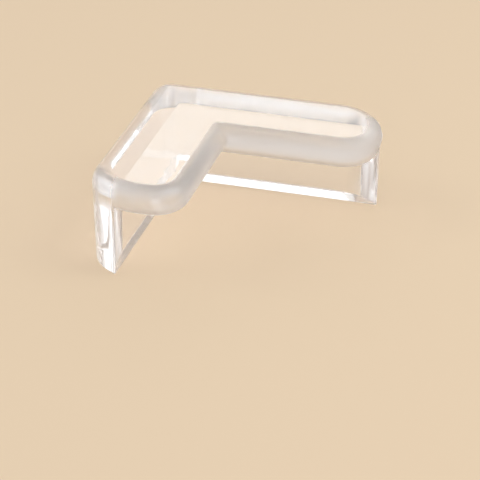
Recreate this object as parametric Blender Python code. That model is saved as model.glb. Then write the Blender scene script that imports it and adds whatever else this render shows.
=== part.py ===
"""Clear soft corner protector for a table or shelf.

One moulded piece of soft clear PVC: an L-shaped plate that lies on the table
top, with a wall under each of its two outer edges that lies against the edge
of the table. Metres, +Z up, standing on the feet of its walls.

u runs from the outer face of the left wall along the right arm, and v from the
outer face of the rear wall along the left arm. The two arms are mirror images,
so every outline is worked out for the right arm and swapped for the left one.
An inset is a distance from the plate's outline into the material.
"""

from math import atan2, cos, hypot, pi, radians, sin, sqrt

import bmesh
import bpy

# Overall form
ARM_LENGTH = 0.055
ARM_WIDTH = 0.0226
HEIGHT = 0.0215
PLATE_THICKNESS = 0.0068
WALL_THICKNESS = 0.0078

# Outline seen from above
CORNER_RADIUS = 0.005
END_OUTER_RADIUS = 0.0125
END_INNER_RADIUS = 0.0075
NOTCH_RADIUS = 0.001
INSIDE_CORNER_RADIUS = 0.0012
WALL_TIP_RADIUS = 0.0004

# Rounded edges and moulding draft
TOP_EDGE_ROUND = 0.0046
RIM_ROUND = 0.0033
FOOT_ROUND = 0.0003
WALL_DRAFT = 0.0004
PARTING_BAND = 0.0002

# Faces round each curve
CORNER_FACES = 5
WALL_END_FACES = 12
RIM_END_FACES = 9
INNER_END_FACES = 9
NOTCH_FACES = 3
INSIDE_CORNER_FACES = 5
WALL_TIP_FACES = 4
TOP_EDGE_FACES = 8
RIM_UNDER_FACES = 7
FOOT_FACES = 3

# Limits that one size puts on another
outer_radius = min(END_OUTER_RADIUS, ARM_WIDTH - PLATE_THICKNESS / 2)
inner_radius = min(END_INNER_RADIUS, ARM_WIDTH - outer_radius)
end_flat = ARM_WIDTH - inner_radius - outer_radius
rim_round = min(RIM_ROUND, (PLATE_THICKNESS - PARTING_BAND) / 2, inner_radius - PARTING_BAND)
foot_round = min(FOOT_ROUND, 0.75 * WALL_TIP_RADIUS)
underside = HEIGHT - PLATE_THICKNESS


def end_point(turn, inset):
    """Point of the arm's end: turn 0 to 1 outer curve, 1 to 2 flat, 2 to 3 inner curve."""
    if turn <= 1:
        angle = turn * pi / 2
        reach = outer_radius - inset
        return (ARM_LENGTH - outer_radius + reach * sin(angle), outer_radius - reach * cos(angle))
    if turn <= 2:
        return (ARM_LENGTH - inset, outer_radius + (turn - 1) * end_flat)
    angle = (turn - 2) * pi / 2
    reach = inner_radius - inset
    centre_u = ARM_LENGTH - inner_radius
    centre_v = ARM_WIDTH - inner_radius
    return (centre_u + reach * cos(angle), centre_v + reach * sin(angle))


def end_turn(u, v):
    """Turn of the arm's end at which a point lies."""
    if v < outer_radius:
        return atan2(u - ARM_LENGTH + outer_radius, outer_radius - v) / (pi / 2)
    return 1 + (v - outer_radius) / max(end_flat, PARTING_BAND)


def end_inset(u, v):
    """How far inside the plate's outline a point of the arm's end lies."""
    if v < outer_radius:
        return outer_radius - hypot(u - ARM_LENGTH + outer_radius, outer_radius - v)
    return ARM_LENGTH - u


def end_reach(v, inset):
    """u of the arm's end at a given v and inset."""
    if v < outer_radius:
        return ARM_LENGTH - outer_radius + sqrt((outer_radius - inset) ** 2 - (outer_radius - v) ** 2)
    return ARM_LENGTH - inset


def tip_centre(draft):
    """Centre of the rounding where a wall's inner face meets its end."""
    v = WALL_THICKNESS - WALL_TIP_RADIUS
    return (end_reach(v, draft + WALL_TIP_RADIUS), v)


def tip_point(share, draft, inset):
    """Point of that rounding, from the wall's outer face to its inner face."""
    u, v = tip_centre(draft)
    start = min(end_turn(u, v), 1) * pi / 2 - pi / 2
    angle = start + share * (pi / 2 - start)
    reach = WALL_TIP_RADIUS - inset
    return (u + reach * cos(angle), v + reach * sin(angle))


def tip_turn(draft):
    """Turn of the arm's end at which the rounding starts."""
    return end_turn(*tip_point(0, draft, 0))


def corner_point(share, inset):
    """Point of the rear corner, from its middle to the rear edge."""
    angle = (1 - share) * pi / 4
    centre = max(CORNER_RADIUS, inset + PARTING_BAND)
    reach = centre - inset
    return (centre - reach * sin(angle), centre - reach * cos(angle))


def notch_point(share, inset):
    """Point of the notch between the arms, from the inner edge to its middle."""
    angle = share * pi / 4
    centre = ARM_WIDTH - inset + NOTCH_RADIUS
    return (centre - NOTCH_RADIUS * sin(angle), centre - NOTCH_RADIUS * cos(angle))


def inside_point(share, inset):
    """Point of the corner between the walls' inner faces, from rear to left."""
    angle = share * pi / 2
    centre = WALL_THICKNESS + INSIDE_CORNER_RADIUS
    reach = INSIDE_CORNER_RADIUS + inset
    return (centre - reach * sin(angle), centre - reach * cos(angle))


def steps(count, first=0):
    """Even steps from 0, or from the first step, to 1."""
    return [step / count for step in range(first, count + 1)]


def wall_end_turns(draft):
    """Turns of the arm's end from the rear edge to the wall's rounded tip."""
    tip = tip_turn(draft)
    turns = [share * min(tip, 1) for share in steps(WALL_END_FACES)]
    if tip > 1:
        turns.append(tip)
    return turns


def rim_turns(first):
    """Turns of the arm's end from the wall to the start of the inner curve."""
    last = 2 if end_flat > PARTING_BAND else 1
    return [first + share * (last - first) for share in steps(RIM_END_FACES, 1)]


def wall_outline(inset):
    """Right half of the walls' outer face, rear corner to tip."""
    points = [corner_point(share, inset) for share in steps(CORNER_FACES)]
    points += [end_point(turn, inset) for turn in wall_end_turns(inset)]
    return points


def rim_outline(first, inset):
    """Right half of the plate's free edge, from the wall to the notch."""
    points = [end_point(turn, inset) for turn in rim_turns(first)]
    points += [end_point(2 + share, inset) for share in steps(INNER_END_FACES, 1)]
    points += [notch_point(share, inset) for share in steps(NOTCH_FACES)]
    return points


def top_outline(lean):
    """Right half of the plate's outline on its rounded top edge, with heights."""
    turns = wall_end_turns(0)
    rounds = [TOP_EDGE_ROUND] * (CORNER_FACES + 1)
    rounds += [TOP_EDGE_ROUND + (rim_round - TOP_EDGE_ROUND) * turn / turns[-1] for turn in turns]
    points = []
    for share, radius in zip(steps(CORNER_FACES), rounds):
        points.append((*corner_point(share, radius * (1 - sin(lean))), radius))
    for turn, radius in zip(turns, rounds[CORNER_FACES + 1:]):
        points.append((*end_point(turn, radius * (1 - sin(lean))), radius))
    for u, v in rim_outline(turns[-1], rim_round * (1 - sin(lean))):
        points.append((u, v, rim_round))
    return [(u, v, HEIGHT - radius * (1 - cos(lean)), radius) for u, v, radius in points]


def place(u, v, z):
    """World position of a point given from the two outer faces."""
    return (u - ARM_LENGTH / 2, ARM_LENGTH / 2 - v, z)


def both_arms(half, closed=True):
    """Complete outline from its right half: swapped and run back for the left arm."""
    left = [(point[1], point[0], *point[2:]) for point in reversed(half)]
    if closed:
        return half + left[1:-1]
    return left[:-1] + half


def build_protector():
    mesh = bmesh.new()

    def ring(points):
        return [mesh.verts.new(place(*point[:3])) for point in points]

    def skin(upper, lower, closed=False):
        """Faces between two rows of vertices."""
        pairs = list(zip(upper, lower))
        if closed:
            pairs.append(pairs[0])
        for (one, two), (three, four) in zip(pairs, pairs[1:]):
            mesh.faces.new((one, three, four, two))

    # Rounded top edge, all the way round
    rows = [ring(both_arms(top_outline(lean * pi / 2))) for lean in steps(TOP_EDGE_FACES)]
    band = []
    for u, v, _, radius in top_outline(pi / 2):
        depth = max(radius + PARTING_BAND, PLATE_THICKNESS - rim_round)
        band.append((u, v, HEIGHT - depth))
    rows.append(ring(both_arms(band)))
    for upper, lower in zip(rows, rows[1:]):
        skin(upper, lower, closed=True)
    parting = rows[-1]
    tip = CORNER_FACES + len(wall_end_turns(0))
    around = len(parting)

    # Round under the plate's free edge, which ends on the tip and the inner face of each wall
    tip_insets = [end_inset(*tip_point(share, 0, 0)) for share in steps(WALL_TIP_FACES, 1)]
    insets = list(tip_insets)
    for share in steps(RIM_UNDER_FACES, 1):
        insets.append(tip_insets[-1] + (rim_round - tip_insets[-1]) * (1 - cos(share * pi / 2)))
    under = [parting[tip:around - tip + 1]]
    for level, inset in enumerate(insets):
        z = underside + rim_round - sqrt(max(rim_round ** 2 - (rim_round - inset) ** 2, 0))
        if level < WALL_TIP_FACES:
            start = tip_point((level + 1) / WALL_TIP_FACES, 0, 0)
        else:
            start = (end_reach(WALL_THICKNESS, inset), WALL_THICKNESS)
        half = [start] + rim_outline(end_turn(*start), inset)
        points = half + [(v, u) for u, v in reversed(half)][1:]
        under.append(ring([(u, v, z) for u, v in points]))
    for upper, lower in zip(under, under[1:]):
        skin(upper, lower)
    mesh.faces.new(rows[0])

    # Feet of the walls, rounded all the way round
    feet = []
    for share in steps(FOOT_FACES):
        lean = share * pi / 2
        inset = foot_round * (1 - cos(lean))
        half = wall_outline(WALL_DRAFT + inset)
        if inset > 0:
            half[-1] = tip_point(0, WALL_DRAFT, inset)
        half += [tip_point(turn, WALL_DRAFT, inset) for turn in steps(WALL_TIP_FACES, 1)]
        outside = [(v, u) for u, v in reversed(half)][:-1] + half
        inside = [inside_point(turn, inset) for turn in steps(INSIDE_CORNER_FACES)]
        feet.append(ring([(u, v, foot_round * (1 - sin(lean))) for u, v in outside + inside]))
    for upper, lower in zip(feet, feet[1:]):
        skin(upper, lower, closed=True)
    mesh.faces.new(feet[-1])

    # Walls: outer faces, rounded tips, flat inner faces and the corner between them
    inner_top = ring([(*inside_point(turn, 0), underside) for turn in steps(INSIDE_CORNER_FACES)])
    left_tip = [row[-1] for row in under[WALL_TIP_FACES:0:-1]]
    right_tip = [row[0] for row in under[1:WALL_TIP_FACES + 1]]
    outer_top = left_tip + parting[around - tip:] + parting[:tip + 1] + right_tip
    outer_foot = feet[0][:len(outer_top)]
    inner_foot = feet[0][len(outer_top):]
    skin(outer_top, outer_foot)
    skin(inner_top, inner_foot)
    right_edge = [row[0] for row in under[WALL_TIP_FACES:]]
    left_edge = [row[-1] for row in under[WALL_TIP_FACES:]]
    mesh.faces.new(right_edge + [inner_top[0], inner_foot[0], outer_foot[-1]])
    mesh.faces.new(left_edge + [inner_top[-1], inner_foot[-1], outer_foot[0]])
    mesh.faces.new(under[-1] + list(reversed(inner_top)))

    bmesh.ops.recalc_face_normals(mesh, faces=mesh.faces)
    return mesh


def clear_plastic():
    material = bpy.data.materials.new("clear_soft_plastic")
    material.use_nodes = True
    shader = material.node_tree.nodes["Principled BSDF"]
    shader.inputs["Base Color"].default_value = (0.93, 0.92, 0.91, 1.0)
    shader.inputs["Roughness"].default_value = 0.06
    shader.inputs["Metallic"].default_value = 0.0
    shader.inputs["IOR"].default_value = 1.53
    shader.inputs["Transmission Weight"].default_value = 1.0
    material.diffuse_color = (0.90, 0.89, 0.88, 0.4)
    return material


for old in list(bpy.data.objects):
    bpy.data.objects.remove(old, do_unlink=True)

protector_mesh = bpy.data.meshes.new("corner_protector")
protector_form = build_protector()
protector_form.to_mesh(protector_mesh)
protector_form.free()
protector_mesh.materials.append(clear_plastic())
protector_mesh.shade_smooth()
protector_mesh.set_sharp_from_angle(angle=radians(30))
protector = bpy.data.objects.new("corner_protector", protector_mesh)
bpy.context.collection.objects.link(protector)
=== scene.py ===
from math import radians

import bmesh
import bpy
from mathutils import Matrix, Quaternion, Vector


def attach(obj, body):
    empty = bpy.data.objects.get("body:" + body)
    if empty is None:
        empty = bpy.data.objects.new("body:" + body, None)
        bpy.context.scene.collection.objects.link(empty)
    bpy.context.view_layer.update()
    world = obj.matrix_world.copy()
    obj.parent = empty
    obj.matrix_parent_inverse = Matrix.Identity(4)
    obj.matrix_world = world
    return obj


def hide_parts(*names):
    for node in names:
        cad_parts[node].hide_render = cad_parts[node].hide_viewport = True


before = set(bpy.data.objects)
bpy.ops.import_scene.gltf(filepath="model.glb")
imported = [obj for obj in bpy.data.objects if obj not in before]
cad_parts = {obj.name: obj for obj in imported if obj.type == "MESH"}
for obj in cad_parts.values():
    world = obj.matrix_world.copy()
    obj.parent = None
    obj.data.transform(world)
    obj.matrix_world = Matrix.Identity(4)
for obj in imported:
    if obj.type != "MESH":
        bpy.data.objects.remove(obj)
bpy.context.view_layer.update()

# Protector
# One moulding of clear soft PVC: an L-shaped plate for the top of a table's corner, with a wall
# under each outer edge. It takes the solid's form, with its facets joined into smooth faces.
protector_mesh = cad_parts["corner_protector"].data.copy()
protector_mesh.name = "clear_protector"

FLAT_MARGIN = 0.00008
SAME_POINT = 1e-7
FACET_ANGLE = radians(0.3)
CREASE_ANGLE = radians(28)
LARGE_FLAT_AREA = 0.00004
LARGE_FLAT_CORNERS = 8

moulding = bmesh.new()
moulding.from_mesh(protector_mesh)
bmesh.ops.remove_doubles(moulding, verts=moulding.verts, dist=SAME_POINT)
bmesh.ops.dissolve_limit(
    moulding,
    angle_limit=FACET_ANGLE,
    use_dissolve_boundaries=False,
    verts=moulding.verts,
    edges=moulding.edges,
)
flats = [
    face
    for face in moulding.faces
    if face.calc_area() > LARGE_FLAT_AREA and len(face.verts) > LARGE_FLAT_CORNERS
]
bmesh.ops.inset_individual(moulding, faces=flats, thickness=FLAT_MARGIN, use_even_offset=True)
moulding.to_mesh(protector_mesh)
moulding.free()
protector_mesh.materials.clear()
protector_mesh.shade_smooth()
protector_mesh.set_sharp_from_angle(angle=CREASE_ANGLE)
protector = bpy.data.objects.new("clear_protector", protector_mesh)
bpy.context.collection.objects.link(protector)

clear_pvc = bpy.data.materials.new("clear_pvc")
clear_pvc.use_nodes = True
nodes = clear_pvc.node_tree.nodes
links = clear_pvc.node_tree.links
shader = nodes["Principled BSDF"]
shader.inputs["Base Color"].default_value = (0.97, 0.965, 0.965, 1)
shader.inputs["IOR"].default_value = 1.53
shader.inputs["Transmission Weight"].default_value = 0.94

where = nodes.new("ShaderNodeTexCoord")
swell = nodes.new("ShaderNodeTexNoise")
swell.inputs["Scale"].default_value = 130
swell.inputs["Detail"].default_value = 2
links.new(where.outputs["Object"], swell.inputs["Vector"])
swell_bump = nodes.new("ShaderNodeBump")
swell_bump.inputs["Strength"].default_value = 0.28
swell_bump.inputs["Distance"].default_value = 0.0003
links.new(swell.outputs["Fac"], swell_bump.inputs["Height"])
links.new(swell_bump.outputs["Normal"], shader.inputs["Normal"])

# The plate's round free edge is frosted, its outer rounding a little less, and the flats and walls
# are polished.
UNDERSIDE = 0.0147
ROUND_START = 0.0153
OUTER_ROUND = 0.0206
OUTER_ROUND_END = 0.0194
POLISHED = 0.03
ROUND_OVER_WALLS = 0.21
FREE_EDGE = 0.36
facing = nodes.new("ShaderNodeNewGeometry")
facing_parts = nodes.new("ShaderNodeSeparateXYZ")
links.new(facing.outputs["Normal"], facing_parts.inputs["Vector"])
upright = nodes.new("ShaderNodeMath")
upright.operation = "ABSOLUTE"
links.new(facing_parts.outputs["Z"], upright.inputs[0])
off_flat = nodes.new("ShaderNodeMapRange")
off_flat.inputs["From Min"].default_value = 0.9995
off_flat.inputs["From Max"].default_value = 0.994
links.new(upright.outputs[0], off_flat.inputs["Value"])
place_parts = nodes.new("ShaderNodeSeparateXYZ")
links.new(where.outputs["Object"], place_parts.inputs["Vector"])
on_plate = nodes.new("ShaderNodeMapRange")
on_plate.inputs["From Min"].default_value = UNDERSIDE
on_plate.inputs["From Max"].default_value = ROUND_START
links.new(place_parts.outputs["Z"], on_plate.inputs["Value"])
from_left = nodes.new("ShaderNodeMapRange")
from_left.inputs["From Min"].default_value = -OUTER_ROUND
from_left.inputs["From Max"].default_value = -OUTER_ROUND_END
links.new(place_parts.outputs["X"], from_left.inputs["Value"])
from_rear = nodes.new("ShaderNodeMapRange")
from_rear.inputs["From Min"].default_value = OUTER_ROUND
from_rear.inputs["From Max"].default_value = OUTER_ROUND_END
links.new(place_parts.outputs["Y"], from_rear.inputs["Value"])
off_walls = nodes.new("ShaderNodeMath")
off_walls.operation = "MINIMUM"
links.new(from_left.outputs["Result"], off_walls.inputs[0])
links.new(from_rear.outputs["Result"], off_walls.inputs[1])
rounded = nodes.new("ShaderNodeMath")
rounded.operation = "MULTIPLY"
links.new(off_flat.outputs["Result"], rounded.inputs[0])
links.new(on_plate.outputs["Result"], rounded.inputs[1])
frost = nodes.new("ShaderNodeMapRange")
frost.inputs["To Min"].default_value = ROUND_OVER_WALLS
frost.inputs["To Max"].default_value = FREE_EDGE
links.new(off_walls.outputs[0], frost.inputs["Value"])
finish = nodes.new("ShaderNodeMapRange")
finish.inputs["To Min"].default_value = POLISHED
links.new(frost.outputs["Result"], finish.inputs["To Max"])
links.new(rounded.outputs[0], finish.inputs["Value"])
links.new(finish.outputs["Result"], shader.inputs["Roughness"])

# Light passes through the plastic to the floor, so its shadow is pale.
ray_kind = nodes.new("ShaderNodeLightPath")
clear_way = nodes.new("ShaderNodeBsdfTransparent")
clear_way.inputs["Color"].default_value = (0.78, 0.77, 0.79, 1)
lit_plastic = nodes.new("ShaderNodeMixShader")
links.new(ray_kind.outputs["Is Shadow Ray"], lit_plastic.inputs["Fac"])
links.new(shader.outputs["BSDF"], lit_plastic.inputs[1])
links.new(clear_way.outputs["BSDF"], lit_plastic.inputs[2])
links.new(lit_plastic.outputs["Shader"], nodes["Material Output"].inputs["Surface"])

# Long ways through the plastic come out a little grey.
haze = nodes.new("ShaderNodeVolumeAbsorption")
haze.inputs["Color"].default_value = (0.80, 0.80, 0.88, 1)
haze.inputs["Density"].default_value = 4
links.new(haze.outputs["Volume"], nodes["Material Output"].inputs["Volume"])
protector_mesh.materials.append(clear_pvc)

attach(protector, "root")
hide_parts("corner_protector")

# Floor
# A wide plain board in pale warm beige, 0.2 mm under the feet, so that no face of it lies in the
# clear plastic's. It runs far enough to fill the camera's view.
FLOOR_HALF_WIDTH = 4
FLOOR_DROP = 0.0002

ground = bmesh.new()
bmesh.ops.create_grid(ground, x_segments=1, y_segments=1, size=FLOOR_HALF_WIDTH)
bmesh.ops.translate(ground, verts=ground.verts, vec=(0, 0, -FLOOR_DROP))
floor_mesh = bpy.data.meshes.new("floor")
ground.to_mesh(floor_mesh)
ground.free()
floor = bpy.data.objects.new("floor", floor_mesh)
bpy.context.collection.objects.link(floor)
floor_paint = bpy.data.materials.new("floor_paint")
floor_paint.use_nodes = True
floor_shader = floor_paint.node_tree.nodes["Principled BSDF"]
floor_shader.inputs["Base Color"].default_value = (0.755, 0.605, 0.435, 1)
floor_shader.inputs["Roughness"].default_value = 0.8
floor_mesh.materials.append(floor_paint)

# Light
# Plain soft studio light: a surround that is pale above and warmer and dimmer near the floor, a
# soft box at the back that the flat top mirrors towards the camera, and one at each side.
surround = bpy.context.scene.world or bpy.data.worlds.new("surround")
bpy.context.scene.world = surround
surround.use_nodes = True
surround_nodes = surround.node_tree.nodes
surround_links = surround.node_tree.links
ray = surround_nodes.new("ShaderNodeLightPath")
seen = surround_nodes.new("ShaderNodeMath")
seen.operation = "MAXIMUM"
surround_links.new(ray.outputs["Is Glossy Ray"], seen.inputs[0])
surround_links.new(ray.outputs["Is Transmission Ray"], seen.inputs[1])
seen_or_camera = surround_nodes.new("ShaderNodeMath")
seen_or_camera.operation = "MAXIMUM"
surround_links.new(seen.outputs[0], seen_or_camera.inputs[0])
surround_links.new(ray.outputs["Is Camera Ray"], seen_or_camera.inputs[1])
look = surround_nodes.new("ShaderNodeTexCoord")
look_parts = surround_nodes.new("ShaderNodeSeparateXYZ")
surround_links.new(look.outputs["Generated"], look_parts.inputs["Vector"])
brightness = surround_nodes.new("ShaderNodeMapRange")
brightness.inputs["From Min"].default_value = 0.1
brightness.inputs["From Max"].default_value = 0.4
brightness.inputs["To Min"].default_value = 0.44
brightness.inputs["To Max"].default_value = 1.0
surround_links.new(look_parts.outputs["Z"], brightness.inputs["Value"])
tint = surround_nodes.new("ShaderNodeMix")
tint.data_type = "RGBA"
tint.inputs["A"].default_value = (1.0, 0.82, 0.68, 1)
tint.inputs["B"].default_value = (0.98, 0.965, 0.94, 1)
height_share = surround_nodes.new("ShaderNodeMapRange")
height_share.inputs["From Min"].default_value = 0.08
height_share.inputs["From Max"].default_value = 0.4
surround_links.new(look_parts.outputs["Z"], height_share.inputs["Value"])
surround_links.new(height_share.outputs["Result"], tint.inputs["Factor"])
surround_links.new(tint.outputs["Result"], surround_nodes["Background"].inputs["Color"])
strength = surround_nodes.new("ShaderNodeMapRange")
strength.inputs["To Min"].default_value = 0.72
surround_links.new(brightness.outputs["Result"], strength.inputs["To Max"])
surround_links.new(seen_or_camera.outputs[0], strength.inputs["Value"])
surround_links.new(strength.outputs["Result"], surround_nodes["Background"].inputs["Strength"])

# Clear plastic mirrors light inside itself many times before it leaves.
bpy.context.scene.cycles.max_bounces = 40
bpy.context.scene.cycles.glossy_bounces = 32
bpy.context.scene.cycles.transmission_bounces = 32


BOX_AIM = (0, 0, 0.01)


def soft_box(name, place, width, height, power):
    lamp = bpy.data.lights.new(name, "AREA")
    lamp.shape = "RECTANGLE"
    lamp.size = width
    lamp.size_y = height
    lamp.energy = power
    box = bpy.data.objects.new(name, lamp)
    box.location = place
    box.rotation_euler = (Vector(BOX_AIM) - Vector(place)).to_track_quat("-Z", "Y").to_euler()
    bpy.context.collection.objects.link(box)


soft_box("back_box", (-0.215, 0.76, 0.43), 0.42, 0.16, 0.165)
soft_box("left_box", (-0.7, -0.2, 0.6), 0.4, 0.4, 1.6)
soft_box("right_box", (0.5, 0.0, 0.55), 0.4, 0.4, 1.7)

# Camera
# A long lens on the photograph's side of the protector. It looks down by about 29 degrees, and the
# picture leans by a fifth of a degree, as the photograph does.
CAMERA_LEAN = radians(0.2)

camera_lens = bpy.data.cameras.new("camera")
camera_lens.sensor_width = 36
camera_lens.lens = 169.08
camera_lens.clip_start = 0.01
camera = bpy.data.objects.new("camera", camera_lens)
camera.location = (0.11785, -0.41513, 0.23398)
view_direction = Vector((-0.23935, 0.84373, -0.48045))
camera_turn = view_direction.to_track_quat("-Z", "Y") @ Quaternion((0, 0, 1), CAMERA_LEAN)
camera.rotation_euler = camera_turn.to_euler()
bpy.context.collection.objects.link(camera)
bpy.context.scene.camera = camera
bpy.context.scene.view_settings.view_transform = "Standard"
